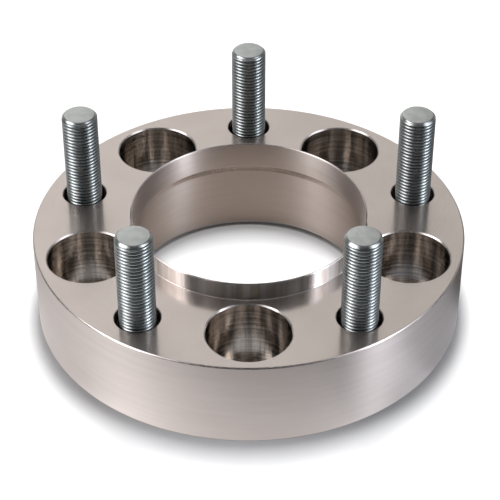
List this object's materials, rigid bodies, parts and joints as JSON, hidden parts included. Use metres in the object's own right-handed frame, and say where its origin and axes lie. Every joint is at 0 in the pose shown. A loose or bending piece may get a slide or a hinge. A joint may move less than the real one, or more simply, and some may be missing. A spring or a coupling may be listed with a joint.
{
  "type": "wheel spacer",
  "caption": "Round aluminium wheel spacer with a centring lip, deep nut pockets and pressed-in threaded studs, for moving a wheel outwards on its hub.",
  "frame": {"origin": "centre of the hub face, on the spacer's axis", "axes": "+Z along the spacer's axis from the hub face towards the wheel; +Y through the first wheel stud"},
  "size_m": [0.17, 0.17, 0.074],
  "materials": {
    "turned_aluminium": "fine turned, bare",
    "plated_steel": "bright zinc plated"
  },
  "bodies": {
    "root": {"spacer_body": "turned_aluminium", "wheel_stud_1": "plated_steel", "wheel_stud_2": "plated_steel", "wheel_stud_3": "plated_steel", "wheel_stud_4": "plated_steel", "wheel_stud_5": "plated_steel"}
  },
  "joints": []
}
